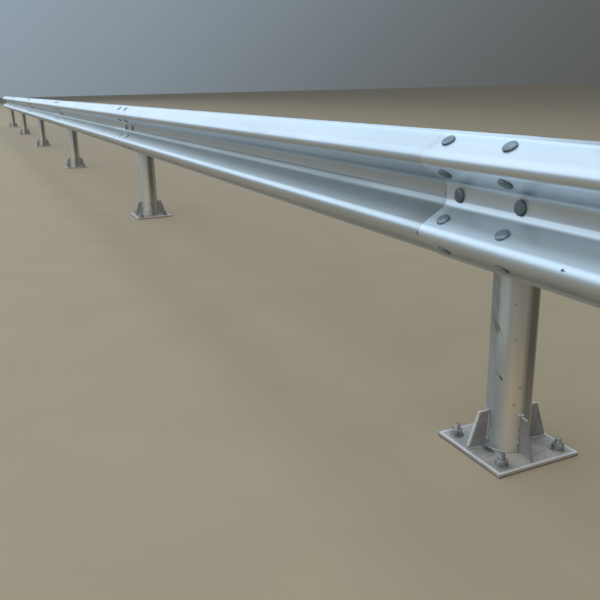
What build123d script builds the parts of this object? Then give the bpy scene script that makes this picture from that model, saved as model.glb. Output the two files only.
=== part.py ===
"""Highway guardrail section: a two-wave steel beam on round posts with bolted base plates.

Frame: +X runs along the rail, -Y faces the road, +Z is up, and z = 0 is the ground. The origin is
the centre of the underside of the middle base plate. All sizes are in millimetres.
"""

import os
from math import cos, radians, sin, tan

from build123d import *

# Bays of the run.
bay_count = 6
post_spacing = 4000

# Round posts.
post_diameter = 114
post_wall = 4.5

# Square base plates with their anchor holes.
plate_size = 250
plate_thickness = 10
anchor_spacing = 180
anchor_hole_diameter = 24

# Gussets that brace each post on its plate, set a little askew to its sides.
gusset_count = 4
gusset_turn = 8
gusset_height = 100
gusset_foot = 55
gusset_head = 28
gusset_toe_height = 12
gusset_thickness = 6
gusset_weld_notch = 12
weld_gap = 0.2

# Section of the beam, measured on the face towards the road.
beam_height = 310
beam_depth = 85
beam_thickness = 3
crest_spacing = 184
crest_radius = 24
valley_radius = 24
slope_angle = 58
lip_length = 11
lip_angle = 10
lip_radius = 10
beam_centre_height = 650

# Splices, where each panel laps over the end of the one before it.
lap_length = 320
lap_clearance = 0.25
splice_bolt_spacing = 216
splice_hole_diameter = 18
inner_row_height = 56
outer_row_height = 132
hole_reach = 8

# Straps that hold the beam off the posts.
bracket_width = 300
bracket_height = 70
bracket_thickness = 4.5
bracket_standoff = 35
bracket_wrap_angle = 40
bracket_wing_inner = 78
bracket_clearance = 0.3
bracket_hole_diameter = 18

# Pressed caps on the posts, clear of the straps below them.
cap_wall = 2
cap_skirt = 30
cap_clearance = 0.3
cap_dome_rise = 12
cap_height_over_bracket = 25

# Posts end just above the beam's middle, hidden behind its upper wave.
post_top_height = beam_centre_height + bracket_height / 2 + cap_height_over_bracket + cap_skirt

post_radius = post_diameter / 2
post_places = [(index - bay_count / 2) * post_spacing for index in range(bay_count + 1)]

# Front of the beam's valley, where the rear panel of a lap rests on the bracket wings.
wing_front_y = -post_radius - bracket_standoff
valley_back_y = wing_front_y - bracket_clearance
crest_front_y = valley_back_y - beam_depth
valley_depth = beam_depth - beam_thickness

# One panel nests in the next when it is moved forward by this much.
lap_shift = (beam_thickness + lap_clearance) / cos(radians(slope_angle))

# Radii at which the strap, the gussets and the cap meet the post.
strap_radius = post_radius + bracket_clearance
gusset_inner = post_radius + weld_gap
cap_inner_radius = post_radius + cap_clearance
cap_outer_radius = cap_inner_radius + cap_wall

slope = radians(slope_angle)
crest_height = crest_spacing / 2
crest_apex_depth = crest_radius - crest_radius / cos(slope)
outline_radii = [lip_radius, crest_radius, valley_radius, valley_radius, crest_radius, lip_radius]
splice_rows = (outer_row_height, inner_row_height, -inner_row_height, -outer_row_height)


def slope_depth(height):
    """Depth behind the crest front of the sloping web at a height above the beam's middle."""
    return crest_apex_depth + abs(height - crest_height) * tan(slope)


def beam_outline():
    """Corners of the road-side line of the section, as (depth, height) from bottom to top."""
    lip = radians(lip_angle)
    edge_height = beam_height / 2
    lip_height = edge_height - lip_length * cos(lip)
    lip_depth = slope_depth(lip_height)
    edge_depth = lip_depth + lip_length * sin(lip)
    valley_height = crest_height - (valley_depth - crest_apex_depth) / tan(slope)
    upper = [
        (valley_depth, valley_height),
        (crest_apex_depth, crest_height),
        (lip_depth, lip_height),
        (edge_depth, edge_height),
    ]
    lower = [(depth, -height) for depth, height in reversed(upper)]
    return lower + upper


def dome_points(radius, rise):
    """Rim, halfway point and crown of a cap's arc, as (radius, height), centred on the post."""
    sphere = (radius**2 + rise**2) / (2 * rise)
    halfway = (sphere**2 - (radius / 2) ** 2) ** 0.5 - (sphere - rise)
    return (
        (radius, post_top_height),
        (radius / 2, post_top_height + halfway),
        (0, post_top_height + rise),
    )


def road_plane(x, y, z):
    """Plane that faces the road, with its x axis along the rail and its y axis up."""
    return Plane(origin=(x, y, z), x_dir=(1, 0, 0), z_dir=(0, -1, 0))


def splice_bolt_planes(post_x, height, front_shift):
    """Planes square to the web at the two bolts of one row, on the front sheet's road side."""
    side = 1 if height > 0 else -1
    lean = side if abs(height) > crest_height else -side
    y = crest_front_y - front_shift + slope_depth(abs(height))
    normal = (0, -cos(slope), lean * sin(slope))
    return [
        Plane(
            origin=(post_x + column, y, beam_centre_height + height),
            x_dir=(1, 0, 0),
            z_dir=normal,
        )
        for column in (-splice_bolt_spacing / 2, splice_bolt_spacing / 2)
    ]


def valley_bolt_planes(post_x):
    """Planes facing the road at the two bolts that hold the beam's valley to the bracket."""
    return [
        road_plane(post_x + column, valley_back_y, beam_centre_height)
        for column in (-splice_bolt_spacing / 2, splice_bolt_spacing / 2)
    ]


os.makedirs("parts", exist_ok=True)

# Base plates.
for number, post_x in enumerate(post_places, start=1):
    with BuildPart() as base_plate:
        with BuildSketch(Plane(origin=(post_x, 0, 0))):
            Rectangle(plate_size, plate_size)
            with GridLocations(anchor_spacing, anchor_spacing, 2, 2):
                Circle(anchor_hole_diameter / 2, mode=Mode.SUBTRACT)
        extrude(amount=plate_thickness)
    base_plate.part.label = f"base_plate_{number}"
    export_step(base_plate.part, f"parts/base_plate_{number}.step")

# Posts, with a cross hole for the bracket bolt.
for number, post_x in enumerate(post_places, start=1):
    with BuildPart() as post:
        with BuildSketch(Plane(origin=(post_x, 0, plate_thickness))):
            Circle(post_radius)
            Circle(post_radius - post_wall, mode=Mode.SUBTRACT)
        extrude(amount=post_top_height - plate_thickness)
        with BuildSketch(road_plane(post_x, 0, beam_centre_height)):
            Circle(bracket_hole_diameter / 2)
        extrude(amount=post_diameter, both=True, mode=Mode.SUBTRACT)
    post.part.label = f"post_{number}"
    export_step(post.part, f"parts/post_{number}.step")

# Gussets, evenly spaced round the foot of each post.
for number, post_x in enumerate(post_places, start=1):
    with BuildPart() as gussets:
        for angle in range(0, 360, 360 // gusset_count):
            outward = Vector(1, 0, 0).rotate(Axis.Z, angle - gusset_turn)
            side = outward.cross(Vector(0, 0, 1))
            with BuildSketch(Plane(origin=(post_x, 0, plate_thickness), x_dir=outward, z_dir=side)):
                with BuildLine():
                    Polyline(
                        (gusset_inner + gusset_weld_notch, 0),
                        (post_radius + gusset_foot, 0),
                        (post_radius + gusset_foot, gusset_toe_height),
                        (post_radius + gusset_head, gusset_height),
                        (gusset_inner, gusset_height),
                        (gusset_inner, gusset_weld_notch),
                        close=True,
                    )
                make_face()
            extrude(amount=gusset_thickness / 2, both=True)
    gussets.part.label = f"gussets_{number}"
    export_step(gussets.part, f"parts/gussets_{number}.step")

# Brackets: a strap bent round the front of the post, with a wing to each side.
for number, post_x in enumerate(post_places, start=1):
    with BuildPart() as bracket:
        with BuildSketch(Plane(origin=(post_x, 0, beam_centre_height - bracket_height / 2))):
            with BuildLine():
                wing_back_y = wing_front_y + bracket_thickness
                hug = CenterArc((0, 0), strap_radius, 270 - bracket_wrap_angle, 2 * bracket_wrap_angle)
                Polyline(hug @ 0, (-bracket_wing_inner, wing_back_y), (-bracket_width / 2, wing_back_y))
                Polyline(hug @ 1, (bracket_wing_inner, wing_back_y), (bracket_width / 2, wing_back_y))
                offset(amount=bracket_thickness, side=Side.RIGHT)
            make_face()
        extrude(amount=bracket_height)
        with BuildSketch(road_plane(post_x, 0, beam_centre_height)):
            Circle(bracket_hole_diameter / 2)
            with GridLocations(splice_bolt_spacing, 0, 2, 1):
                Circle(splice_hole_diameter / 2)
        extrude(amount=-wing_front_y, mode=Mode.SUBTRACT)
    bracket.part.label = f"bracket_{number}"
    export_step(bracket.part, f"parts/bracket_{number}.step")

# Caps: a pressed dome with a skirt round the top of each post.
for number, post_x in enumerate(post_places, start=1):
    with BuildPart() as post_cap:
        with BuildSketch(road_plane(post_x, 0, 0)):
            with BuildLine():
                Polyline(
                    (cap_inner_radius, post_top_height),
                    (cap_inner_radius, post_top_height - cap_skirt),
                    (cap_outer_radius, post_top_height - cap_skirt),
                    (cap_outer_radius, post_top_height),
                )
                ThreePointArc(*dome_points(cap_outer_radius, cap_dome_rise + cap_wall))
                Line((0, post_top_height + cap_dome_rise + cap_wall), (0, post_top_height + cap_dome_rise))
                ThreePointArc(*dome_points(cap_inner_radius, cap_dome_rise))
            make_face()
        revolve(axis=Axis((post_x, 0, 0), (0, 0, 1)))
    post_cap.part.label = f"post_cap_{number}"
    export_step(post_cap.part, f"parts/post_cap_{number}.step")

# Rail panels: the left end of each laps over the right end of the one before it.
for number in range(1, bay_count + 1):
    left_x, right_x = post_places[number - 1], post_places[number]
    left_shift = lap_shift if number > 1 else 0
    right_shift = lap_shift if number < bay_count else 0
    run = (post_spacing, left_shift, 0)
    end_shift = left_shift * (1 + lap_length / 2 / post_spacing)
    section = Plane(
        origin=(left_x - lap_length / 2, crest_front_y - end_shift, beam_centre_height),
        x_dir=(-left_shift, post_spacing, 0),
        z_dir=run,
    )
    with BuildPart() as rail_panel:
        with BuildSketch(section):
            with BuildLine():
                FilletPolyline(*beam_outline(), radius=outline_radii)
                offset(amount=beam_thickness, side=Side.RIGHT)
            make_face()
        extrude(amount=post_spacing + lap_length)
        for post_x, shift in ((left_x, left_shift), (right_x, right_shift)):
            for height in splice_rows:
                with BuildSketch(*splice_bolt_planes(post_x, height, shift)):
                    Circle(splice_hole_diameter / 2)
                extrude(amount=hole_reach, both=True, mode=Mode.SUBTRACT)
            with BuildSketch(*valley_bolt_planes(post_x)):
                Circle(splice_hole_diameter / 2)
            extrude(amount=lap_shift + 2 * beam_thickness, mode=Mode.SUBTRACT)
    rail_panel.part.label = f"rail_panel_{number}"
    export_step(rail_panel.part, f"parts/rail_panel_{number}.step")
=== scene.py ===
"""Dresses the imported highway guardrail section: bolts, nuts, anchors, welds and zinc finishes.

The frame is that of the solids, in metres: +X along the rail, -Y towards the front, +Z up.
"""

import logging
from dataclasses import dataclass
from enum import Enum
from math import cos, pi, radians, sin, tan
from random import Random
from typing import Any, Callable, Iterable

import bmesh
import bpy
from mathutils import Matrix, Vector


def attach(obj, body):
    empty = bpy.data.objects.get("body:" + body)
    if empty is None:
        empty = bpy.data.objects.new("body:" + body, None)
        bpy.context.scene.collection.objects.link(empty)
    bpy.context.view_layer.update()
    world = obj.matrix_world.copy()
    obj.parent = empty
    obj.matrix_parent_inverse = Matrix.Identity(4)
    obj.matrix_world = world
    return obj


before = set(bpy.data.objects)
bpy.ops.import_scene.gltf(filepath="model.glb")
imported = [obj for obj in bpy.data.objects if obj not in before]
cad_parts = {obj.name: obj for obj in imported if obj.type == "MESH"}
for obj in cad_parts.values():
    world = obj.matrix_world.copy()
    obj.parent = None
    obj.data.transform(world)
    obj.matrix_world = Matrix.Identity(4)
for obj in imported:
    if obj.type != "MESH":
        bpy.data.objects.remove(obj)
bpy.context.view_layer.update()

log = logging.getLogger("guardrail")
logging.basicConfig(level=logging.INFO, format="%(name)s: %(message)s")

Colour = tuple[float, float, float]
Place = tuple[float, float, float]

# Where something fades in: it is 0 at the first number and 1 at the second, which may be lower.
Span = tuple[float, float]

UP = Vector((0.0, 0.0, 1.0))
FORWARD = Vector((0.0, -1.0, 0.0))

# Points closer than this are one point, in metres.
TINY = 1e-6

# A face looks up where its normal's z is more than this, and down where -z is.
LEVEL = 0.9

# Edges that turn more than this, in radians, are bevelled.
SHARP = 1.2

# Bolts and anchors are turned by up to this, in radians.
MOST_TURN = 6.0

# Where the far part of the run begins, along x. Its zinc looks paler in the photo.
FAR_RUN: Span = (6.5, 5.5)


class Slot(Enum):
    """Material slots of the record that new pieces take their finish from."""

    BEAM = "beam_steel"
    PLATE = "plate_steel"
    BRACKET = "bracket_steel"


class Head(Enum):
    """Kinds of bolt head on the run."""

    MUSHROOM = "mushroom"
    HEX = "hex"


class Value:
    """A number in a shader that takes Python arithmetic."""

    def __init__(self, nodes: "Nodes", socket: bpy.types.NodeSocket) -> None:
        """Wraps the output socket that carries the number."""
        self.nodes = nodes
        self.socket = socket

    def _math(self, operation: str, first: Any, second: Any = 0.0) -> "Value":
        """Adds one Math node and wraps its result."""
        made = self.nodes.node("ShaderNodeMath", {"operation": operation}, {0: first, 1: second})
        return Value(self.nodes, made.outputs[0])

    def __add__(self, other: Any) -> "Value":
        """Sum."""
        return self._math("ADD", self, other)

    __radd__ = __add__

    def __mul__(self, other: Any) -> "Value":
        """Product."""
        return self._math("MULTIPLY", self, other)

    __rmul__ = __mul__

    def __sub__(self, other: Any) -> "Value":
        """Difference."""
        return self._math("SUBTRACT", self, other)

    def __rsub__(self, other: Any) -> "Value":
        """Difference from a number, as in 1 - mask."""
        return self._math("SUBTRACT", other, self)

    def __mod__(self, other: Any) -> "Value":
        """Remainder, never negative."""
        return self._math("FLOORED_MODULO", self, other)

    def __abs__(self) -> "Value":
        """Size without its sign."""
        return self._math("ABSOLUTE", self)

    def root(self) -> "Value":
        """Square root."""
        return self._math("SQRT", self)

    def whole(self) -> "Value":
        """The whole number below."""
        return self._math("FLOOR", self)

    def at_most(self, other: Any) -> "Value":
        """The smaller of this and another value."""
        return self._math("MINIMUM", self, other)

    def at_least(self, other: Any) -> "Value":
        """The larger of this and another value."""
        return self._math("MAXIMUM", self, other)

    def between(self, low: float, high: float) -> "Value":
        """Smooth rise from 0 at one number to 1 at another, which may be the lower one.

        Args:
            low: Where the result is 0.
            high: Where the result is 1.

        Returns:
            The wrapped result.
        """
        return Value(self.nodes, self.nodes.node(
            "ShaderNodeMapRange",
            {"interpolation_type": "SMOOTHSTEP"},
            {"Value": self, "From Min": low, "From Max": high},
        ).outputs[0])


class Nodes:
    """A node tree, with one way to add a node to it."""

    def __init__(self, tree: bpy.types.NodeTree, coordinates: str) -> None:
        """Takes a tree over, and the output of Texture Coordinate that its patterns follow."""
        self.tree = tree
        self.place = self.node("ShaderNodeTexCoord", {}, {}).outputs[coordinates]

    def node(self, kind: str, settings: dict[str, Any], inputs: dict[Any, Any]) -> bpy.types.Node:
        """Adds a node.

        Args:
            kind: The node's type.
            settings: Its own settings, set before its sockets.
            inputs: Values or links, by the socket's name or number.

        Returns:
            The node.
        """
        made = self.tree.nodes.new(kind)
        for key, setting in settings.items():
            setattr(made, key, setting)
        for key, given in inputs.items():
            self.plug(given, made.inputs[key])
        return made

    def plug(self, given: Any, socket: bpy.types.NodeSocket) -> None:
        """Links a result to a socket, or sets the socket's own value.

        Args:
            given: A value, a wrapped value or an output socket.
            socket: The input socket.
        """
        link = given.socket if isinstance(given, Value) else given
        if isinstance(link, bpy.types.NodeSocket):
            self.tree.links.new(link, socket)
        else:
            socket.default_value = link

    def split(self, vector: bpy.types.NodeSocket) -> tuple[Value, Value, Value]:
        """The x, y and z of a vector."""
        parts = self.node("ShaderNodeSeparateXYZ", {}, {0: vector})
        return tuple(Value(self, socket) for socket in parts.outputs)

    def mix(self, share: Any, first: Any, second: Any) -> bpy.types.NodeSocket:
        """Blends two colours.

        Args:
            share: How much of the second one shows.
            first: A colour or its link.
            second: A colour or its link.

        Returns:
            The colour socket.
        """
        return self.node("ShaderNodeMix", {"data_type": "RGBA"}, {
            0: share,
            6: (*first, 1.0) if isinstance(first, tuple) else first,
            7: (*second, 1.0) if isinstance(second, tuple) else second,
        }).outputs[2]


@dataclass(frozen=True)
class Band:
    """A stretch of a coordinate that fades in over one span and out over another."""

    rise: Span
    fall: Span

    def over(self, value: Value) -> Value:
        """1 inside the stretch and 0 outside it."""
        return value.between(*self.rise) * value.between(*self.fall)


@dataclass(frozen=True)
class Stain:
    """A dark mark seen on the steel, turned about y by some degrees.

    It fades over the outer half of its reach, which is given along x, y and z.
    """

    at: Place
    reach: Place
    strength: float
    turn: float = 0.0


class Paint(Nodes):
    """The node tree of one material, with short ways to add what the finishes use."""

    def __init__(self, name: str) -> None:
        """Starts a material with a Principled shader.

        Args:
            name: The material's name.
        """
        self.material = bpy.data.materials.new(name)
        self.material.use_nodes = True
        super().__init__(self.material.node_tree, "Object")
        self.shader = self.tree.nodes["Principled BSDF"]

    def noise(self, scale: float | Place, detail: float, rough: float) -> Value:
        """Cloudy noise in object space.

        Args:
            scale: Cells to the metre, along x, y and z where they differ.
            detail: Octaves.
            rough: How strong the finer octaves are.

        Returns:
            A value round 0.5.
        """
        each = scale if isinstance(scale, tuple) else (scale, scale, scale)
        stretched = self.node("ShaderNodeMapping", {}, {"Vector": self.place, "Scale": each})
        made = self.node("ShaderNodeTexNoise", {}, {
            "Vector": stretched.outputs[0], "Scale": 1.0, "Detail": detail, "Roughness": rough,
        })
        return Value(self, made.outputs["Fac"])

    def cells(self, scale: float) -> Value:
        """Random value from 0 to 1 for each crystal of zinc, with so many to the metre."""
        made = self.node("ShaderNodeTexVoronoi", {}, {"Vector": self.place, "Scale": scale})
        return self.split(made.outputs["Color"])[0]

    def dice(self, number: Value) -> Value:
        """Random value from 0 to 1 for each whole number."""
        made = self.node("ShaderNodeTexWhiteNoise", {"noise_dimensions": "1D"}, {"W": number})
        return Value(self, made.outputs["Value"])

    def facing(self) -> tuple[Value, Value, Value]:
        """The direction that the surface faces, as x, y and z."""
        return self.split(self.node("ShaderNodeNewGeometry", {}, {}).outputs["Normal"])

    def mark(self, stain: Stain) -> Value:
        """Soft spot on the surface.

        Args:
            stain: The mark that is shown.

        Returns:
            Its strength in the middle and 0 outside.
        """
        moved = self.node("ShaderNodeVectorMath", {"operation": "SUBTRACT"}, {0: self.place, 1: stain.at})
        fitted = self.node("ShaderNodeMapping", {"vector_type": "TEXTURE"}, {
            "Vector": moved.outputs[0], "Rotation": (0.0, radians(stain.turn), 0.0), "Scale": stain.reach,
        })
        length = self.node("ShaderNodeVectorMath", {"operation": "LENGTH"}, {0: fitted.outputs[0]})
        return stain.strength * Value(self, length.outputs["Value"]).between(1.0, 0.5)

    def coats(self, colour: bpy.types.NodeSocket, *coats: tuple[Any, Any]) -> bpy.types.NodeSocket:
        """Lays other colours over a colour, one after the other.

        Args:
            colour: The colour at the bottom.
            coats: How much each coat covers, and its colour.

        Returns:
            The colour socket.
        """
        for share, tint in coats:
            colour = self.mix(share, colour, tint)
        return colour

    def stained(self, colour: bpy.types.NodeSocket, stains: Iterable[Stain], tint: Colour) -> Any:
        """Lays dark marks of one tint over a colour."""
        return self.coats(colour, *((self.mark(stain), tint) for stain in stains))

    def bump(self, height: Value, strength: float, distance: float, under: Any = None) -> Any:
        """Bump map.

        Args:
            height: The relief, from 0 to 1.
            strength: How much of it shows.
            distance: Its depth in metres.
            under: Normal that it is laid on.

        Returns:
            The normal socket.
        """
        inputs = {"Height": height, "Strength": strength, "Distance": distance}
        if under is not None:
            inputs["Normal"] = under
        return self.node("ShaderNodeBump", {}, inputs).outputs[0]

    def finish(self, colour: Any, rough: Any, metal: Any, normal: Any = None) -> bpy.types.Material:
        """Plugs the results into the shader.

        Args:
            colour: Base colour.
            rough: Roughness.
            metal: Metallic.
            normal: Normal, if the surface has relief.

        Returns:
            The material.
        """
        results = {"Base Color": colour, "Roughness": rough, "Metallic": metal, "Normal": normal}
        for key, given in results.items():
            if given is not None:
                self.plug(given, self.shader.inputs[key])
        return self.material


@dataclass(frozen=True)
class Run:
    """Sizes and places of the posts, plates, gussets and beam, as the solids have them.

    A gusset's foot and head are distances from the middle of its post, and its toe and top are
    heights. The heights of crests and rows are measured from the beam's middle, and its depths from
    the front of its crests. Angles are in degrees.
    """

    posts: int = 7
    spacing: float = 4.0
    post_radius: float = 0.057
    plate_top: float = 0.010
    plate_half: float = 0.125
    anchor_reach: float = 0.090
    gusset_turn: float = -8.0
    gusset_half: float = 0.003
    gusset_foot: float = 0.112
    gusset_toe: float = 0.022
    gusset_head: float = 0.085
    gusset_top: float = 0.110
    beam_centre: float = 0.650
    crest_front: float = -0.1773
    crest_height: float = 0.092
    crest_apex: float = -0.02129
    valley_depth: float = 0.082
    web_slope: float = 58.0
    lap_half: float = 0.160
    lap_shift: float = 0.0061
    bolt_column: float = 0.108
    bolt_rows: tuple[float, ...] = (0.132, 0.056, -0.056, -0.132)

    def places(self) -> list[tuple[int, float]]:
        """Number and x of each post, from the left."""
        return [(n + 1, (n - (self.posts - 1) / 2) * self.spacing) for n in range(self.posts)]

    def lapped(self, number: int) -> bool:
        """Whether two panels lap at a post."""
        return 1 < number < self.posts

    def columns(self, x: float) -> tuple[float, float]:
        """Places of the two columns of bolts at a post."""
        return x - self.bolt_column, x + self.bolt_column

    def web_point(self, x: float, height: float) -> tuple[Place, Vector]:
        """Point on the front of a sloping web at a lap, and the way that the web faces.

        Args:
            x: Place along the rail.
            height: Height above the beam's middle.

        Returns:
            The point and the outward direction.
        """
        lean = radians(self.web_slope)
        side = 1.0 if height > 0 else -1.0
        outer = side if abs(height) > self.crest_height else -side
        depth = self.crest_apex + abs(abs(height) - self.crest_height) * tan(lean)
        at = (x, self.crest_front - self.lap_shift + depth, self.beam_centre + height)
        return at, Vector((0.0, -cos(lean), outer * sin(lean)))

    def valley_point(self, x: float, number: int) -> Place:
        """Point on the front of the valley near the post of that number."""
        shift = self.lap_shift if self.lapped(number) else 0.0
        return x, self.crest_front - shift + self.valley_depth, self.beam_centre


@dataclass(frozen=True)
class SheetZinc:
    """Hot-dip zinc on the rolled beam: pale, cloudy, and a little different on each panel.

    Bands, lips and edges are heights above the ground, and stretches are places along x. A start is
    measured from a panel's left end, and an end from the edge of the next panel. Panels are counted
    from the one that starts at the middle post.
    """

    run: Run
    pale: Colour = (0.61, 0.66, 0.70)
    dull: Colour = (0.53, 0.585, 0.63)
    # Colour of the grime, also used for painted shade.
    dirt_and_shade: Colour = (0.26, 0.25, 0.22)
    # Colour of the painted shade in the recess and over the valley's lower bend.
    painted_shade: Colour = (0.235, 0.255, 0.250)
    scuff: Colour = (0.09, 0.10, 0.11)
    # Colour of the painted highlights.
    light: Colour = (0.80, 0.92, 1.0)
    roughness: float = 0.36
    metallic: float = 0.95
    near_panel: Span = (1.999, 2.0)
    last_panel: float = 2.96
    recess: Band = Band((0.568, 0.606), (0.742, 0.724))
    lower_slope: Band = Band((0.560, 0.585), (0.625, 0.605))
    lower_bend: Band = Band((0.617, 0.626), (0.645, 0.638))
    lower_crest: Band = Band((0.515, 0.530), (0.600, 0.575))
    lower_lip: Span = (0.540, 0.505)
    upper_lip: Span = (0.7945, 0.7985)
    upper_edge: Span = (0.7955, 0.8000)
    lit_stretch: Span = (8.35, 8.0)
    shaded_stretch: Span = (8.05, 8.40)
    seam_end: Span = (0.0115, 0.0080)
    shaded_end: Span = (0.16, 0.02)
    less_shaded_end: Span = (0.6, 0.2)
    highlit_start: Span = (0.045, 0.010)
    lifted_start: Span = (0.0, 0.030)
    valley_half: float = 0.020
    valley_curve: float = 4.3
    stains: tuple[Stain, ...] = (
        Stain((8.3220, -0.181, 0.5685), (0.0050, 0.012, 0.0040), 1.0),
        Stain((8.3275, -0.181, 0.5675), (0.0040, 0.012, 0.0020), 0.6),
        Stain((7.8260, -0.183, 0.5530), (0.0055, 0.020, 0.0090), 0.65),
        Stain((7.8250, -0.100, 0.6440), (0.0035, 0.020, 0.0120), 0.50),
        Stain((7.8180, -0.100, 0.6280), (0.0035, 0.020, 0.0070), 0.40),
    )

    def material(self) -> bpy.types.Material:
        """Builds the material."""
        paint = Paint("zinc_sheet")
        x, _, z = paint.split(paint.place)
        panels = ((x + self.run.lap_half) * (1 / self.run.spacing)).at_most(self.last_panel)
        number = panels.whole()
        along = (panels - number) * self.run.spacing
        nearest_panel = panels.between(*self.near_panel)
        tone = self._tone(paint, paint.dice(number))
        grime = paint.noise((2.0, 7.0, 14.0), 3.0, 0.5).between(0.60, 0.82)
        seam = self._towards_end(along, self.seam_end)
        slope = self.lower_slope.over(z)
        under = z.between(*self.lower_lip)
        # Painted shade over the valley's lower bend, none on the nearest panel and thinner towards each
        # panel's right end.
        less_shaded = self._towards_end(along, self.less_shaded_end)
        bend = self.lower_bend.over(z) * (1 - nearest_panel) * (1 - 0.6 * less_shaded)
        colour = paint.coats(
            paint.mix(tone, self.dull, self.pale),
            # Painted shade in the recess from the lower slope up to the upper inner slope, less on the
            # nearest panel.
            (0.38 * self.recess.over(z) * (1 - 0.82 * nearest_panel), self.painted_shade),
            # Painted shade on the valley's lower bend.
            (0.92 * bend, self.painted_shade),
            (0.25 * grime, self.dirt_and_shade),
            (0.50 * seam, self.dirt_and_shade),
            # Painted shade on the lower slope towards the right end of what shows of each panel.
            (0.30 * slope * self._towards_end(along, self.shaded_end), self.dirt_and_shade),
            # Dirt and painted shade on the lower lip, darker towards the bottom edge.
            (0.42 * under, self.dirt_and_shade),
            # Painted shade along the top edge towards the right end of the run.
            (0.28 * z.between(*self.upper_edge) * x.between(*self.shaded_stretch), self.dirt_and_shade),
            # Painted highlight on the lower slope just right of each lap, where the panel's edge lifts.
            (0.80 * slope * along.between(*self.highlit_start), self.light),
            # Painted highlight on the lower slope of the nearest panel.
            (0.50 * slope * nearest_panel, self.light),
            # Painted highlight on the top lip towards the left end of the run.
            (0.65 * z.between(*self.upper_lip) * x.between(*self.lit_stretch), self.light),
        )
        colour = paint.stained(colour, self.stains, self.scuff)
        soft = nearest_panel * self.lower_crest.over(z)
        rough = self.roughness + 0.04 * (1 - tone) + 0.10 * seam + 0.15 * under + 0.12 * soft
        return paint.finish(colour, rough, self.metallic, self._relief(paint, along, z))

    def _tone(self, paint: Paint, batch: Value) -> Value:
        """How pale the zinc is, from 0 to 1.

        Args:
            paint: The material that is being built.
            batch: Random value of the panel.

        Returns:
            The wrapped result.
        """
        clouds = paint.noise((1.5, 8.0, 8.0), 3.0, 0.55)
        streaks = paint.noise((0.7, 40.0, 40.0), 2.0, 0.5)
        crystals = paint.cells(110.0)
        mixed = 0.66 * clouds + 0.30 * streaks + 0.03 * crystals + 0.10 * batch - 0.045
        return mixed.between(0.28, 0.70)

    def _towards_end(self, along: Value, end: Span) -> Value:
        """Rise towards the right end of what shows of a panel."""
        return along.between(self.run.spacing - end[0], self.run.spacing - end[1])

    def _relief(self, paint: Paint, along: Value, z: Value) -> bpy.types.NodeSocket:
        """Faint waves, a lift at the panel's left edge, the round valley, and the zinc's grain.

        Args:
            paint: The material that is being built.
            along: Length from the panel's left end.
            z: Height above the ground.

        Returns:
            The normal socket.
        """
        waves = paint.bump(paint.noise((1.6, 6.0, 6.0), 0.0, 0.4), 0.22, 0.006)
        lift = paint.bump(along.between(*self.lifted_start), 0.6, 0.003, waves)
        middle = abs(z - self.run.beam_centre).at_most(self.valley_half)
        valley = paint.bump(middle * middle * self.valley_curve, 1.0, 1.0, lift)
        return paint.bump(paint.noise(150.0, 1.0, 0.4), 0.03, 0.0006, valley)


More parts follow.
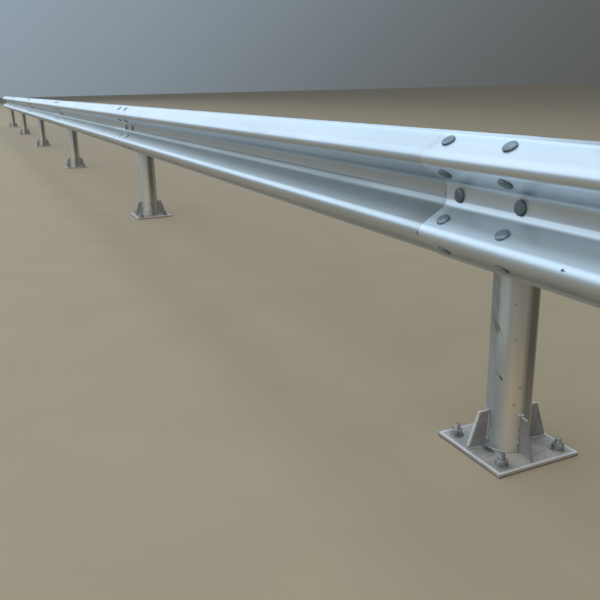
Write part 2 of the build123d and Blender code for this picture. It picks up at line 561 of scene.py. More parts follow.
@dataclass(frozen=True)
class TubeZinc:
    """Dull zinc on the posts and their caps, with runs, scuffs and dust near the ground.

    A front is a span of the normal's y, which is -1 at the front and 1 at the back. A side is a span
    of its x, which is 1 towards the right end of the run.
    """

    pale: Colour = (0.50, 0.53, 0.53)
    dull: Colour = (0.39, 0.41, 0.41)
    bleach: Colour = (0.66, 0.68, 0.70)
    glow: Colour = (0.88, 0.71, 0.50)
    gleam: Colour = (0.86, 0.90, 0.90)
    shade: Colour = (0.15, 0.135, 0.10)
    scuff: Colour = (0.13, 0.14, 0.13)
    dust: Colour = (0.46, 0.40, 0.32)
    roughness: float = 0.40
    metallic: float = 0.72
    dust_height: Span = (0.16, 0.01)
    glow_height: Span = (0.40, 0.12)
    gleam_height: Span = (0.22, 0.36)
    shade_height: Span = (0.06, 0.30)
    glow_front: Span = (-0.99, -0.60)
    gleam_front: Span = (-0.2, -0.5)
    edge_front: Span = (-0.2, -0.6)
    shade_front: Span = (-0.28, 0.09)
    lighter_front: Span = (0.38, 0.62)
    glow_side: Span = (-0.15, 0.55)
    gleam_side: Band = Band((0.10, 0.30), (0.66, 0.48))
    edge_side: Span = (0.18, 0.04)
    stains: tuple[Stain, ...] = (
        Stain((7.9960, -0.057, 0.349), (0.010, 0.03, 0.036), 0.40, -28.0),
        Stain((8.0060, -0.056, 0.336), (0.012, 0.03, 0.014), 0.30, 20.0),
        Stain((8.0130, -0.055, 0.334), (0.0022, 0.03, 0.024), 0.65, -24.0),
        Stain((8.0240, -0.052, 0.2095), (0.0045, 0.03, 0.0100), 0.85, -28.0),
        Stain((8.0130, -0.055, 0.2190), (0.0085, 0.03, 0.0022), 0.60, 35.0),
        Stain((8.0040, -0.056, 0.2260), (0.0040, 0.03, 0.0020), 0.45, 30.0),
        Stain((8.0010, -0.057, 0.4050), (0.0022, 0.03, 0.030), 0.50, -8.0),
        Stain((8.0030, -0.057, 0.4500), (0.0020, 0.03, 0.020), 0.40, 6.0),
        Stain((8.0432, -0.037, 0.4020), (0.0030, 0.01, 0.0045), 0.45),
        Stain((8.0460, -0.034, 0.3130), (0.0025, 0.01, 0.0040), 0.40),
        Stain((8.0546, -0.016, 0.1880), (0.0030, 0.01, 0.0050), 0.45),
        Stain((8.0500, -0.027, 0.1420), (0.0030, 0.01, 0.0050), 0.45),
    )

    def material(self) -> bpy.types.Material:
        """Builds the material."""
        paint = Paint("zinc_tube")
        x, _, height = paint.split(paint.place)
        away, behind, _ = paint.facing()
        clouds = paint.noise((9.0, 9.0, 4.0), 4.0, 0.6)
        runs = paint.noise((60.0, 60.0, 4.0), 3.0, 0.5)
        tone = (0.65 * clouds + 0.35 * runs).between(0.34, 0.64)
        dusty = height.between(*self.dust_height) * paint.noise(40.0, 5.0, 0.6).between(0.35, 0.65)
        specks = paint.noise((90.0, 90.0, 60.0), 3.0, 0.6).between(0.71, 0.78)
        # Painted shade on the back half of the post, lighter again straight at the back and darker higher
        # up.
        shaded_back = behind.between(*self.shade_front) * (1 - 0.75 * behind.between(*self.lighter_front))
        # Painted warm light on the front of the post, towards the right, stronger low down.
        warm = behind.between(*self.glow_front) * away.between(*self.glow_side) * (1 - shaded_back)
        # Painted highlight on the front of the post, turned towards the right, higher up.
        high = height.between(*self.gleam_height)
        gleam = high * self.gleam_side.over(away) * behind.between(*self.gleam_front)
        # Painted shade on the front of the post where it turns towards the left end, higher up.
        edge = high * away.between(*self.edge_side) * behind.between(*self.edge_front)
        colour = paint.coats(
            paint.mix(tone, self.dull, self.pale),
            (0.35 * x.between(*FAR_RUN), self.bleach),
            (warm * (0.26 + 0.46 * height.between(*self.glow_height)), self.glow),
            (0.36 * gleam, self.gleam),
            (0.28 * edge, self.shade),
            (shaded_back * (0.45 + 0.33 * height.between(*self.shade_height)), self.shade),
            (0.50 * dusty, self.dust),
            (0.60 * specks, self.scuff),
        )
        colour = paint.stained(colour, self.stains, self.scuff)
        rough = self.roughness + 0.08 * (1 - tone) + 0.25 * dusty + 0.20 * specks
        relief = paint.bump(paint.noise((90.0, 90.0, 30.0), 3.0, 0.6), 0.15, 0.0012)
        return paint.finish(colour, rough, self.metallic - 0.3 * dusty, relief)


@dataclass(frozen=True)
class PlateZinc:
    """Zinc on the base plates and gussets: dust on top, painted highlights along the rims, and painted
    light on the sides over a painted shadow at their foot.

    Rims, sides, corners and fronts are places from the middle of the plate. A width gives the
    distances from an edge between which a painted highlight strip fades in.
    """

    run: Run
    pale: Colour = (0.47, 0.445, 0.43)
    dull: Colour = (0.33, 0.31, 0.295)
    # Colour of the painted highlights on the rims and the gussets' edges.
    rim: Colour = (0.86, 0.82, 0.80)
    dust: Colour = (0.52, 0.39, 0.30)
    rust: Colour = (0.16, 0.12, 0.09)
    # Colour of the dark stains, also used for the painted shadow at the foot of the sides.
    stain_and_shadow: Colour = (0.10, 0.10, 0.09)
    # Colour of the painted light on the plate's sides.
    bounce_light: Colour = (0.62, 0.52, 0.42)
    roughness: float = 0.48
    metallic: float = 0.62
    looks_up: Span = (0.3, 0.9)
    rim_width: Span = (0.012, 0.004)
    front_rim: Span = (-0.08, -0.11)
    right_rim: Span = (0.08, 0.11)
    right_side: Span = (0.08, 0.12)
    clean_corner: Span = (-0.20, 0.05)
    rusty_corner: Span = (0.05, 0.13)
    shadow_height: Span = (0.0042, 0.0020)
    side_blur: float = 0.001
    edge_width: Span = (0.0060, 0.0035)
    crown_width: Span = (0.0030, 0.0010)
    edge_height: Span = (0.013, 0.020)
    edge_front: Span = (-0.02, -0.05)
    stains: tuple[Stain, ...] = (
        Stain((8.0130, -0.0670, 0.010), (0.026, 0.012, 0.010), 0.90),
        Stain((7.9760, -0.0700, 0.010), (0.012, 0.009, 0.010), 0.50),
    )

    def material(self) -> bpy.types.Material:
        """Builds the material."""
        paint = Paint("zinc_plate")
        x, y, z = paint.split(paint.place)
        across = (x + self.run.spacing / 2) % self.run.spacing - self.run.spacing / 2
        clouds = paint.noise(14.0, 5.0, 0.6)
        fine = paint.noise(70.0, 4.0, 0.6)
        tone = (0.6 * clouds + 0.4 * fine).between(0.36, 0.62)
        pits = paint.noise(120.0, 2.0, 0.5).between(0.68, 0.75)
        lying = paint.facing()[2].between(*self.looks_up)
        rim = lying * self._rim(across, y)
        dusty = lying * (0.35 + 0.65 * clouds.between(0.38, 0.62)) * (1 - 0.8 * rim)
        dusty = dusty * (0.35 + 0.65 * (across + y).between(*self.clean_corner))
        top, blur = self.run.plate_top, self.side_blur
        side = (1 - lying) * z.between(top + blur, top - blur)
        upright = (1 - lying) * (1 - side)
        colour = paint.coats(
            paint.mix(tone, self.dull, self.pale),
            (0.26 * upright + 0.22 * lying * (across - y).between(*self.rusty_corner), self.rust),
            (0.50 * dusty, self.dust),
            # Painted highlight along the plate's rims and the gussets' edges.
            (0.75 * rim.at_least(self._gusset_edge(across, y, z)), self.rim),
            # Painted light on the plate's sides, stronger towards the right.
            (side * (0.25 + 0.60 * across.between(*self.right_side)), self.bounce_light),
            # Painted contact shadow along the foot of the plate's sides.
            (0.85 * side * z.between(*self.shadow_height), self.stain_and_shadow),
            (0.50 * pits, self.rust),
        )
        colour = paint.stained(colour, self.stains, self.stain_and_shadow)
        rough = self.roughness + 0.25 * dusty + 0.1 * (1 - tone)
        return paint.finish(colour, rough, self.metallic - 0.35 * dusty, paint.bump(fine, 0.22, 0.0012))

    def _rim(self, across: Value, y: Value) -> Value:
        """Painted highlight strip along the plate's edges, brightest at the front and at the right.

        Args:
            across: Place along the rail from the middle of the plate.
            y: Place towards the back.

        Returns:
            The wrapped result.
        """
        half, (inner, outer) = self.run.plate_half, self.rim_width
        strip = abs(across).at_least(abs(y)).between(half - inner, half - outer)
        brighter = (0.60 * y.between(*self.front_rim)).at_least(0.42 * across.between(*self.right_rim))
        return strip * (0.40 + brighter)

    def _gusset_edge(self, across: Value, y: Value, z: Value) -> Value:
        """Painted highlight strips along the sloping and top edges of the gussets.

        Args:
            across: Place along the rail from the middle of the post.
            y: Place towards the back.
            z: Height above the ground.

        Returns:
            The wrapped result.
        """
        run = self.run
        out, up = Vector((run.gusset_top - run.gusset_toe, run.gusset_foot - run.gusset_head)).normalized()
        reach = out * run.gusset_foot + up * run.gusset_toe
        radius = (across * across + y * y).root()
        inner, outer = self.edge_width
        slant = (radius * out + z * up).between(reach - inner, reach - outer)
        inner, outer = self.crown_width
        crown = z.between(run.gusset_top - inner, run.gusset_top - outer)
        return z.between(*self.edge_height) * (slant * y.between(*self.edge_front)).at_least(0.5 * crown)


@dataclass(frozen=True)
class FastenerZinc:
    """Zinc of the bolts, anchors and brackets, each in its own tones.

    Faces that look down get painted shade, or painted light from the floor where they are no higher
    than the beam's lowest row.
    """

    name: str
    pale: Colour
    dull: Colour
    # Colour of the painted shade on faces that look down.
    dusty: Colour = (0.080, 0.092, 0.092)
    # Colour of the painted floor light on low faces that look down.
    bounce_light: Colour = (0.46, 0.42, 0.36)
    bleach: Colour = (0.44, 0.48, 0.50)
    rust: Colour = (0.20, 0.14, 0.09)
    bleached: float = 0.0
    rusting: float = 0.15
    relief: float = 0.25
    roughness: float = 0.46
    metallic: float = 0.75
    looks_down: Span = (-0.2, -0.5)
    sand_height: Span = (0.56, 0.54)

    def material(self) -> bpy.types.Material:
        """Builds the material."""
        paint = Paint(self.name)
        x, _, z = paint.split(paint.place)
        clouds = paint.noise(60.0, 4.0, 0.6)
        grain = paint.noise(300.0, 3.0, 0.6)
        tone = (0.6 * clouds + 0.4 * grain).between(0.36, 0.64)
        rusty = self.rusting * paint.noise(130.0, 4.0, 0.65).between(0.56, 0.70)
        below = paint.mix(z.between(*self.sand_height), self.dusty, self.bounce_light)
        colour = paint.coats(
            paint.mix(tone, self.dull, self.pale),
            (self.bleached * x.between(*FAR_RUN), self.bleach),
            # Painted shade on faces that look down, and painted floor light on low ones.
            (0.60 * paint.facing()[2].between(*self.looks_down), below),
            (rusty, self.rust),
        )
        rough = self.roughness + 0.12 * (1 - tone) + 0.3 * rusty
        relief = paint.bump(grain, self.relief, 0.0010)
        return paint.finish(colour, rough, self.metallic - 0.5 * rusty, relief)


@dataclass(frozen=True)
class WeldZinc:
    """Zinc over the weld beads: brighter, with dark flecks of slag and painted shade by the plate."""

    pale: Colour = (0.52, 0.48, 0.44)
    dull: Colour = (0.32, 0.30, 0.27)
    slag: Colour = (0.12, 0.10, 0.08)
    roughness: float = 0.46
    metallic: float = 0.4
    shaded_height: Span = (0.030, 0.012)

    def material(self) -> bpy.types.Material:
        """Builds the material."""
        paint = Paint("zinc_weld")
        height = paint.split(paint.place)[2]
        clouds = paint.noise(45.0, 4.0, 0.65)
        flecks = paint.noise(170.0, 3.0, 0.6).between(0.56, 0.68)
        colour = paint.coats(
            paint.mix(clouds.between(0.42, 0.58), self.dull, self.pale),
            (0.75 * flecks, self.slag),
            # Painted shade on the beads low down by the plate.
            (0.55 * height.between(*self.shaded_height), self.dull),
        )
        rough = self.roughness + 0.2 * flecks
        return paint.finish(colour, rough, self.metallic, paint.bump(clouds, 0.4, 0.002))


@dataclass(frozen=True)
class Ground:
    """Plain pale floor under the run."""

    pale: Colour = (0.37, 0.275, 0.175)
    depth: float = 0.93
    roughness: float = 0.9

    def material(self) -> bpy.types.Material:
        """Builds the material."""
        paint = Paint("floor")
        tone = paint.noise(3.0, 5.0, 0.6).between(0.2, 0.8)
        shade = tuple(self.depth * part for part in self.pale)
        return paint.finish(paint.mix(tone, shade, self.pale), self.roughness, 0.0)


class Bench:
    """One mesh being modelled with Blender's own operators."""

    def __init__(self, name: str) -> None:
        """Starts a piece with nothing selected.

        Args:
            name: The piece's name.
        """
        bpy.ops.object.select_all(action="DESELECT")
        self.name = name
        self.piece: bpy.types.Object | None = None

    def cylinder(self, radius: float, depth: float, at: Place, sides: int = 24) -> "Bench":
        """Adds a cylinder, with its corners at the radius and its middle at a place."""
        bpy.ops.mesh.primitive_cylinder_add(vertices=sides, radius=radius, depth=depth, location=at)
        return self._started()

    def ring(self, radius: float, wire: float, at: Place, sides: int, around: int) -> "Bench":
        """Adds a ring and goes on in edit mode.

        Args:
            radius: From its middle to the middle of its bead.
            wire: Radius of the bead.
            at: Its middle.
            sides: Segments round the ring.
            around: Segments round the bead.

        Returns:
            The bench.
        """
        bpy.ops.mesh.primitive_torus_add(
            major_radius=radius, minor_radius=wire, major_segments=sides, minor_segments=around,
            location=at,
        )
        return self._started()

    def _started(self) -> "Bench":
        """Names a new primitive, puts its place in its mesh and opens it."""
        self.piece = bpy.context.object
        self.piece.name = self.piece.data.name = self.name
        bpy.ops.object.transform_apply(location=True, rotation=True, scale=True)
        bpy.ops.object.mode_set(mode="EDIT")
        bpy.ops.mesh.select_mode(type="FACE")
        return self

    def pick(self, test: Callable[[bmesh.types.BMFace], bool]) -> "Bench":
        """Selects the faces that pass a test, and no others.

        Args:
            test: True for a face to select.

        Returns:
            The bench.
        """
        bpy.ops.mesh.select_all(action="DESELECT")
        mesh = bmesh.from_edit_mesh(self.piece.data)
        for face in mesh.faces:
            face.select_set(test(face))
        bmesh.update_edit_mesh(self.piece.data)
        return self

    def pick_end(self, side: int) -> "Bench":
        """Selects the highest face that looks up, or the lowest that looks down.

        Args:
            side: 1 for the upper end and -1 for the lower one.

        Returns:
            The bench.
        """
        mesh = bmesh.from_edit_mesh(self.piece.data)
        ends = [face for face in mesh.faces if face.normal.z * side > LEVEL]
        far = max(side * face.calc_center_median().z for face in ends)
        return self.pick(
            lambda face: face.normal.z * side > LEVEL and side * face.calc_center_median().z > far - TINY
        )

    def extrude(self, rise: float, spread: float = 1.0) -> "Bench":
        """Extrudes the selected end along z and then widens or narrows it.

        Args:
            rise: How far along z.
            spread: Factor on its width.

        Returns:
            The bench.
        """
        bpy.ops.mesh.extrude_region_move(TRANSFORM_OT_translate={"value": (0.0, 0.0, rise)})
        if spread != 1.0:
            bpy.ops.transform.resize(value=(spread, spread, 1.0))
        return self

    def thread(self, ridges: int, pitch: float, groove: float) -> "Bench":
        """Draws the selected end out along z, with a ridge at each turn.

        Args:
            ridges: Their number.
            pitch: From ridge to ridge, negative on the way down.
            groove: Width of the grooves as a share of the width at the ridges.

        Returns:
            The bench.
        """
        for _ in range(ridges):
            self.extrude(pitch / 2, groove).extrude(pitch / 2, 1 / groove)
        return self

    def inset(self, width: float) -> "Bench":
        """Insets the selected faces, which leaves a rim of that width."""
        bpy.ops.mesh.inset(thickness=width, depth=0.0)
        return self

    def swell(self, amount: float) -> "Bench":
        """Moves the selected faces out along their normals."""
        bpy.ops.transform.shrink_fatten(value=amount)
        return self

    def soften(self, width: float, test: Callable[[bmesh.types.BMEdge], bool]) -> "Bench":
        """Bevels the edges that pass a test.

        Args:
            width: Width of the bevel.
            test: True for an edge to bevel.

        Returns:
            The bench.
        """
        bpy.ops.mesh.select_mode(type="EDGE")
        bpy.ops.mesh.select_all(action="DESELECT")
        mesh = bmesh.from_edit_mesh(self.piece.data)
        for edge in mesh.edges:
            edge.select_set(test(edge))
        bmesh.update_edit_mesh(self.piece.data)
        bpy.ops.mesh.bevel(offset=width, segments=1, affect="EDGES")
        bpy.ops.mesh.select_mode(type="FACE")
        return self

    def done(self, angle: float = 35.0) -> bpy.types.Object:
        """Closes edit mode, turns the faces outwards and smooths the shading.

        Args:
            angle: Edges sharper than this stay sharp, in degrees.

        Returns:
            The piece.
        """
        bpy.ops.mesh.select_all(action="SELECT")
        bpy.ops.mesh.remove_doubles(threshold=TINY)
        bpy.ops.mesh.normals_make_consistent(inside=False)
        bpy.ops.object.mode_set(mode="OBJECT")
        bpy.ops.object.shade_smooth_by_angle(angle=radians(angle))
        return self.piece


def joined(name: str, pieces: Iterable[bpy.types.Object]) -> bpy.types.Object:
    """Joins meshes into one piece whose object sits at the origin.

    Args:
        name: The piece's name.
        pieces: What is joined.

    Returns:
        The piece.
    """
    found = list(pieces)
    bpy.ops.object.select_all(action="DESELECT")
    for piece in found:
        piece.select_set(True)
    bpy.context.view_layer.objects.active = found[0]
    if len(found) > 1:
        bpy.ops.object.join()
    whole = bpy.context.view_layer.objects.active
    whole.name = whole.data.name = name
    return whole


def copied(pattern: bpy.types.Object, place: Matrix) -> bpy.types.Object:
    """Copy of a pattern with its own mesh, moved in its mesh.

    Args:
        pattern: The piece that is copied.
        place: Where the copy goes.

    Returns:
        The copy.
    """
    twin = pattern.copy()
    twin.data = pattern.data.copy()
    bpy.context.scene.collection.objects.link(twin)
    twin.data.transform(place)
    return twin


def removed(*patterns: bpy.types.Object) -> None:
    """Takes patterns out of the scene once they are copied."""
    for pattern in patterns:
        bpy.data.objects.remove(pattern)


def settled(piece: bpy.types.Object, finish: bpy.types.Material) -> None:
    """Dresses a new piece and fixes it to the run.

    Args:
        piece: The new piece.
        finish: Its material.
    """
    piece.data.materials.clear()
    piece.data.materials.append(finish)
    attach(piece, "root")
    log.info("%s: %d faces", piece.name, len(piece.data.polygons))


def bolt_place(at: Place, axis: Vector, turn: float) -> Matrix:
    """Matrix for a bolt that sits at a point, looks along an axis and is turned about it."""
    lean = UP.rotation_difference(axis.normalized()).to_matrix().to_4x4()
    return Matrix.Translation(at) @ lean @ Matrix.Rotation(turn, 4, "Z")


def hex_corner(across: float) -> float:
    """Distance from the middle of a hexagon to its corners, from its width across the flats."""
    return across / 2 / cos(pi / 6)


@dataclass(frozen=True)
class Washer:
    """A flat washer with softened rims."""

    radius: float
    height: float
    bevel: float
    sides: int

    def build(self, low: float) -> bpy.types.Object:
        """Models the washer.

        Args:
            low: Height of its lower face.

        Returns:
            The washer.
        """
        middle = (0.0, 0.0, low + self.height / 2)
        bench = Bench("washer").cylinder(self.radius, self.height, middle, self.sides)
        return bench.soften(self.bevel, lambda edge: edge.calc_face_angle(0.0) > SHARP).done()


@dataclass(frozen=True)
class Nut:
    """A six-sided nut with chamfered ends, and a step round its hole at the outer end."""

    across: float
    height: float
    outer_taper: float
    rim: float
    step: float
    chamfer: float = 0.0015
    taper: float = 0.90

    def build(self, low: float, outer: int) -> bpy.types.Object:
        """Models the nut.

        Args:
            low: Height of its lower end.
            outer: 1 where its outer end is the upper one, and -1 where it is the lower one.

        Returns:
            The nut.
        """
        body = self.height - 2 * self.chamfer
        bench = Bench("nut").cylinder(hex_corner(self.across), body, (0.0, 0.0, low + self.height / 2), 6)
        bench.pick_end(-outer).extrude(-outer * self.chamfer, self.taper)
        bench.pick_end(outer).extrude(outer * self.chamfer, self.outer_taper)
        bench.inset(self.rim).extrude(-outer * self.step, self.taper)
        return bench.done(angle=20.0)


@dataclass(frozen=True)
class Bolt:
    """A bolt with its washer and nut, head up, the surface under the head at z = 0.

    Each step of a mushroom's crown is a share of its rise and a factor on its width.
    """

    name: str
    head: Head
    grip: float
    length: float
    shank: float = 0.008
    head_radius: float = 0.0174
    head_height: float = 0.0066
    head_foot: float = 0.0010
    head_rim: float = 0.0026
    undercut: float = 0.88
    crown: tuple[tuple[float, float], ...] = ((0.45, 0.93), (0.33, 0.82), (0.17, 0.66), (0.05, 0.40))
    hex_rim: float = 0.0012
    hex_rise: float = 0.0008
    hex_taper: float = 0.94
    pitch: float = 0.0025
    groove: float = 0.90
    end: float = 0.001
    end_taper: float = 0.85
    least_ridges: int = 2
    washer: Washer = Washer(0.015, 0.0028, 0.0005, 20)
    nut: Nut = Nut(0.024, 0.013, 0.90, 0.0018, 0.0008)

    def pattern(self) -> bpy.types.Object:
        """Models the bolt, its washer and its nut once."""
        head = self._mushroom() if self.head is Head.MUSHROOM else self._hex_head()
        washer_low = -self.grip - self.washer.height
        nut_low = washer_low - self.nut.height
        return joined(self.name, [head, self.washer.build(washer_low), self.nut.build(nut_low, -1)])

    def _mushroom(self) -> bpy.types.Object:
        """Low round head with an undercut rim, and the threaded shank below it."""
        middle = (0.0, 0.0, self.head_foot + self.head_rim / 2)
        bench = Bench(self.name).cylinder(self.head_radius, self.head_rim, middle)
        rise = self.head_height - self.head_foot - self.head_rim
        bench.pick_end(1)
        for share, spread in self.crown:
            bench.extrude(share * rise, spread)
        bench.pick_end(-1).extrude(-self.head_foot, self.undercut)
        bench.inset(self.undercut * self.head_radius - self.shank)
        self._threaded(bench)
        return bench.done(angle=50.0)

    def _hex_head(self) -> bpy.types.Object:
        """Six-sided head and the threaded shank below it."""
        corner = hex_corner(self.nut.across)
        bench = Bench(self.name).cylinder(corner, self.head_height, (0.0, 0.0, self.head_height / 2), 6)
        bench.pick_end(1).inset(self.hex_rim).extrude(self.hex_rise, self.hex_taper)
        bench.pick_end(-1).inset(corner - self.shank)
        self._threaded(bench)
        return bench.done()

    def _threaded(self, bench: Bench) -> None:
        """Draws the shank down and turns ridges on its last stretch.

        Args:
            bench: The bolt, with the face under its head selected.
        """
        plain = self.grip + self.washer.height + self.nut.height - self.end
        ridges = max(self.least_ridges, int((self.length - plain) / self.pitch))
        bench.extrude(-plain).thread(ridges, -self.pitch, self.groove).extrude(-self.end, self.end_taper)


@dataclass(frozen=True)
class Splice:
    """Bolts that clamp two panels of the beam, and hold them to the bracket."""

    run: Run
    seed: int = 11
    web_bolt: Bolt = Bolt("web_bolt", Head.MUSHROOM, 0.0065, 0.030)
    valley_bolt: Bolt = Bolt("valley_bolt", Head.MUSHROOM, 0.0140, 0.040)

    def build(self, finish: bpy.types.Material, valley_finish: bpy.types.Material) -> None:
        """Places the web bolts of the lapped posts and the valley bolts of all posts.

        Args:
            finish: The web bolts' material.
            valley_finish: The valley bolts' material.
        """
        turns = Random(self.seed)
        web_pattern, valley_pattern = self.web_bolt.pattern(), self.valley_bolt.pattern()
        for number, x in self.run.places():
            if self.run.lapped(number):
                points = [
                    self.run.web_point(column, height)
                    for height in self.run.bolt_rows for column in self.run.columns(x)
                ]
                self._fitted(f"splice_bolts_{number}", web_pattern, points, turns, finish)
            points = [
                (self.run.valley_point(column, number), FORWARD) for column in self.run.columns(x)
            ]
            self._fitted(f"valley_bolts_{number}", valley_pattern, points, turns, valley_finish)
        removed(web_pattern, valley_pattern)

    def _fitted(
        self, name: str, pattern: bpy.types.Object, points: Iterable[tuple[Place, Vector]],
        turns: Random, finish: bpy.types.Material,
    ) -> None:
        """Places a group of bolts that is one piece.

        Args:
            name: The piece's name.
            pattern: The bolt that is copied.
            points: Points on the surface under the heads, and the ways that the heads look.
            turns: Gives each bolt a turn of its own.
            finish: The bolts' material.
        """
        bolts = [
            copied(pattern, bolt_place(at, axis, turns.uniform(0.0, MOST_TURN))) for at, axis in points
        ]
        settled(joined(name, bolts), finish)


@dataclass(frozen=True)
class Strap:
    """Through bolts that hold each bracket to its post.

    The seat is how far the strap's face stands in front of the middle of the post.
    """

    run: Run
    seed: int = 5
    seat: float = 0.0618
    bolt: Bolt = Bolt("strap_bolt", Head.HEX, 0.1188, 0.142, head_height=0.010)

    def build(self, finish: bpy.types.Material) -> None:
        """Places one bolt at each post.

        Args:
            finish: The bolts' material.
        """
        turns = Random(self.seed)
        pattern = self.bolt.pattern()
        for number, x in self.run.places():
            at = (x, -self.seat, self.run.beam_centre)
            bolt = copied(pattern, bolt_place(at, FORWARD, turns.uniform(0.0, MOST_TURN)))
            settled(joined(f"strap_bolt_{number}", [bolt]), finish)
        removed(pattern)


@dataclass(frozen=True)
class Anchors:
    """Anchor studs, nuts and washers on the base plates."""

    run: Run
    seed: int = 3
    stud: float = 0.0080
    stud_sides: int = 16
    top: float = 0.044
    pitch: float = 0.0025
    groove: float = 0.88
    end: float = 0.001
    end_taper: float = 0.78
    washer: Washer = Washer(0.0185, 0.003, 0.0006, 24)
    nut: Nut = Nut(0.0265, 0.015, 0.86, 0.0022, 0.0010)

    def pattern(self) -> bpy.types.Object:
        """Models one anchor once, its stud rising from the ground."""
        seat = self.run.plate_top + self.washer.height
        bench = Bench("anchor").cylinder(self.stud, seat, (0.0, 0.0, seat / 2), self.stud_sides)
        bench.pick_end(1).extrude(self.nut.height)
        ridges = int((self.top - seat - self.nut.height - self.end) / self.pitch)
        bench.thread(ridges, self.pitch, self.groove).extrude(self.end, self.end_taper)
        stud = bench.done(angle=50.0)
        return joined("anchor", [stud, self.washer.build(self.run.plate_top), self.nut.build(seat, 1)])

    def build(self, finish: bpy.types.Material) -> None:
        """Places four anchors on each plate.

        Args:
            finish: The anchors' material.
        """
        turns = Random(self.seed)
        pattern = self.pattern()
        reaches = (-self.run.anchor_reach, self.run.anchor_reach)
        for number, x in self.run.places():
            anchors = [
                copied(pattern, Matrix.Translation((x + along, back, 0.0))
                       @ Matrix.Rotation(turns.uniform(0.0, MOST_TURN), 4, "Z"))
                for along in reaches for back in reaches
            ]
            settled(joined(f"anchors_{number}", anchors), finish)
        removed(pattern)


@dataclass(frozen=True)
class Strand:
    """A straight weld bead: its length, its seed, and how thick its far end is, as a share."""

    name: str
    length: float
    seed: int
    blob: float


@dataclass(frozen=True)
class Welds:
    """Weld beads round the post's foot and along the gussets.

    Gaps are from the steel to the middle of a bead. Widths are shares of the bead. The beads on a
    gusset's foot start at a distance from the middle of the post.
    """

    run: Run
    bead: float = 0.0034
    bead_sides: int = 8
    ripple: float = 0.0042
    widths: tuple[float, float] = (0.70, 1.15)
    closing: float = 0.6
    plate_gap: float = 0.0008
    gusset_gap: float = 0.0010
    post_gap: float = 0.0012
    upright_low: float = 0.023
    foot_start: float = 0.070
    upright: Strand = Strand("upright_bead", 0.085, 23, 1.45)
    foot: Strand = Strand("foot_bead", 0.040, 29, 0.9)
    ring_seed: int = 17
    ring_gap: float = 0.0008
    ring_sides: int = 72
    swelling: float = 0.0009

    def drawn(self, strand: Strand) -> bpy.types.Object:
        """Models one straight bead along +z, drawn out ripple by ripple.

        Args:
            strand: The bead.

        Returns:
            The bead's mesh.
        """
        dice = Random(strand.seed)
        width = self.widths[0]
        start = (0.0, 0.0, self.ripple / 4)
        bench = Bench(strand.name).cylinder(self.bead * width, self.ripple / 2, start, self.bead_sides)
        bench.pick_end(1)
        for _ in range(int(strand.length / self.ripple)):
            wanted = dice.uniform(*self.widths)
            bench.extrude(self.ripple, wanted / width)
            width = wanted
        bench.extrude(self.ripple, strand.blob / width).extrude(self.ripple / 2, self.closing)
        return bench.done(angle=60.0)

    def foot_ring(self) -> bpy.types.Object:
        """Models the bead round a post's foot, swollen here and there."""
        dice = Random(self.ring_seed)
        middle = (0.0, 0.0, self.run.plate_top + self.plate_gap)
        radius = self.run.post_radius + self.ring_gap
        bench = Bench("foot_ring").ring(radius, self.bead, middle, self.ring_sides, self.bead_sides)
        for index in range(0, self.ring_sides, 2):
            angle = 2 * pi * index / self.ring_sides
            around = Vector((cos(angle), sin(angle)))
            bench.pick(lambda face: face.calc_center_median().xy.angle(around) < pi / self.ring_sides)
            bench.swell(dice.uniform(-self.swelling, self.swelling))
        return bench.done(angle=60.0)

    def build(self, finish: bpy.types.Material) -> None:
        """Welds every post and gusset.

        Args:
            finish: The beads' material.
        """
        ring, upright, foot = self.foot_ring(), self.drawn(self.upright), self.drawn(self.foot)
        lying = Matrix.Rotation(pi / 2, 4, "Y")
        for number, x in self.run.places():
            post = Matrix.Translation((x, 0.0, 0.0))
            beads = [copied(ring, post)]
            for quarter in range(4):
                turn = post @ Matrix.Rotation(quarter * pi / 2 + radians(self.run.gusset_turn), 4, "Z")
                for side in (-1, 1):
                    beside = side * (self.run.gusset_half + self.gusset_gap)
                    start = (self.run.post_radius + self.post_gap, beside, self.upright_low)
                    beads.append(copied(upright, turn @ Matrix.Translation(start)))
                    start = (self.foot_start, beside, self.run.plate_top + self.plate_gap)
                    beads.append(copied(foot, turn @ Matrix.Translation(start) @ lying))
            settled(joined(f"welds_{number}", beads), finish)
        removed(ring, upright, foot)


@dataclass(frozen=True)
class SteelWork:
    """Finishes of the solids that come from the pack."""

    finishes: dict[str, bpy.types.Material]

    def dress(self) -> None:
        """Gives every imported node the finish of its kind."""
        for name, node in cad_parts.items():
            kind = name.rsplit("_", 1)[0]
            node.data.materials.clear()
            node.data.materials.append(self.finishes[kind])
            log.info("%s: %s", name, self.finishes[kind].name)


@dataclass(frozen=True)
class SoftPanel:
    """A soft light over the run, tilted about x by some degrees."""

    name: str
    at: Place
    tilt: float
    size: tuple[float, float]
    power: float
    tint: Colour

    def hang(self) -> None:
        """Adds the light."""
        light = bpy.data.lights.new(self.name, "AREA")
        light.shape = "RECTANGLE"
        light.size, light.size_y = self.size
        light.energy = self.power
        light.color = self.tint
        lamp = bpy.data.objects.new(self.name, light)
        lamp.location = self.at
        lamp.rotation_euler = (radians(self.tilt), 0.0, 0.0)
        lamp.visible_camera = False
        bpy.context.scene.collection.objects.link(lamp)


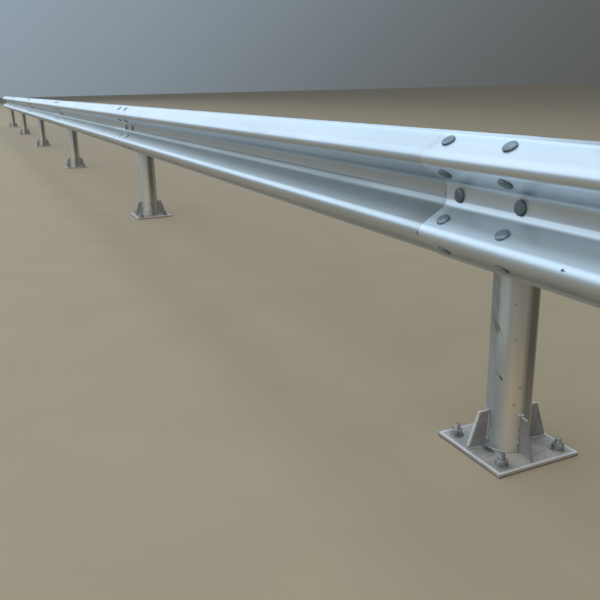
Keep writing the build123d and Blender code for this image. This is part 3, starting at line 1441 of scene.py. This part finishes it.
@dataclass(frozen=True)
class Studio:
    """Floor, light and camera.

    The camera stands where the photo was taken, its angles are in degrees, and its focal length is
    in pixels of the photo.
    """

    panel: SoftPanel = SoftPanel(
        "soft_sky", (-14.0, -2.2, 7.1), 26.0, (80.0, 19.0), 5000.0, (0.77, 0.90, 1.0))
    low_sky: Colour = (0.10, 0.105, 0.10)
    high_sky: Colour = (0.40, 0.50, 0.60)
    sky_lean: Place = (-0.45, -0.6, 0.8)
    sky_fade: Span = (-0.2, 1.0)
    floor_size: float = 240.0
    eye: Place = (9.3063, -1.172, 0.9147)
    pitch: float = 16.795
    yaw: float = 24.259
    roll: float = 1.235
    focal: float = 710.24
    frame_width: int = 600
    sensor: float = 36.0
    near_clip: float = 0.05
    far_clip: float = 400.0

    def floor(self, finish: bpy.types.Material) -> None:
        """Lays the floor.

        Args:
            finish: Its material.
        """
        bpy.ops.object.select_all(action="DESELECT")
        bpy.ops.mesh.primitive_plane_add(size=self.floor_size, location=(0.0, 0.0, 0.0))
        floor = bpy.context.object
        floor.name = "floor"
        floor.data.materials.append(finish)

    def lights(self) -> None:
        """Sets up a plain sky, lighter overhead and towards the front, and hangs the soft panel."""
        world = bpy.data.worlds.new("studio")
        world.use_nodes = True
        sky = Nodes(world.node_tree, "Generated")
        x, y, z = sky.split(sky.place)
        right, back, up = self.sky_lean
        share = (up * z + back * y + right * x).between(*self.sky_fade)
        colour = sky.mix(share, self.low_sky, self.high_sky)
        sky.plug(colour, world.node_tree.nodes["Background"].inputs["Color"])
        bpy.context.scene.world = world
        bpy.context.scene.view_settings.view_transform = "Standard"
        self.panel.hang()

    def camera(self) -> None:
        """Puts the camera where the photo was taken."""
        pitch, yaw, roll = radians(self.pitch), radians(self.yaw), radians(self.roll)
        forward = Vector((-cos(yaw) * cos(pitch), sin(yaw) * cos(pitch), -sin(pitch)))
        level = Vector((sin(yaw), cos(yaw), 0.0))
        down = forward.cross(level)
        right = cos(roll) * level + sin(roll) * down
        below = cos(roll) * down - sin(roll) * level
        lens = bpy.data.cameras.new("camera")
        lens.sensor_width = self.sensor
        lens.sensor_fit = "HORIZONTAL"
        lens.lens = self.focal * self.sensor / self.frame_width
        lens.clip_start = self.near_clip
        lens.clip_end = self.far_clip
        viewer = bpy.data.objects.new("camera", lens)
        turn = Matrix((right, -below, -forward)).transposed().to_4x4()
        viewer.matrix_world = Matrix.Translation(self.eye) @ turn
        bpy.context.scene.collection.objects.link(viewer)
        bpy.context.scene.camera = viewer


def main() -> None:
    """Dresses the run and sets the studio."""
    run = Run()
    tube, plate = TubeZinc().material(), PlateZinc(run).material()
    bolts = FastenerZinc(
        "zinc_bolt", pale=(0.27, 0.315, 0.34), dull=(0.18, 0.215, 0.235), bleached=0.6, rusting=0.06,
    ).material()
    valley_bolts = FastenerZinc(
        "zinc_dark_bolt", pale=(0.20, 0.23, 0.245), dull=(0.11, 0.13, 0.14), rusting=0.06,
    ).material()
    studs = FastenerZinc(
        "zinc_anchor", pale=(0.46, 0.43, 0.40), dull=(0.17, 0.16, 0.15), rusting=0.30, relief=0.5,
    ).material()
    bracket = FastenerZinc("zinc_bracket", pale=(0.52, 0.54, 0.55), dull=(0.40, 0.42, 0.43)).material()
    SteelWork({
        "rail_panel": SheetZinc(run).material(),
        "post": tube,
        "post_cap": tube,
        "base_plate": plate,
        "gussets": plate,
        "bracket": bracket,
    }).dress()
    Splice(run).build(bolts, valley_bolts)
    Strap(run).build(bolts)
    Anchors(run).build(studs)
    Welds(run).build(WeldZinc().material())
    studio = Studio()
    studio.floor(Ground().material())
    studio.lights()
    studio.camera()


if __name__ == "__main__":
    main()
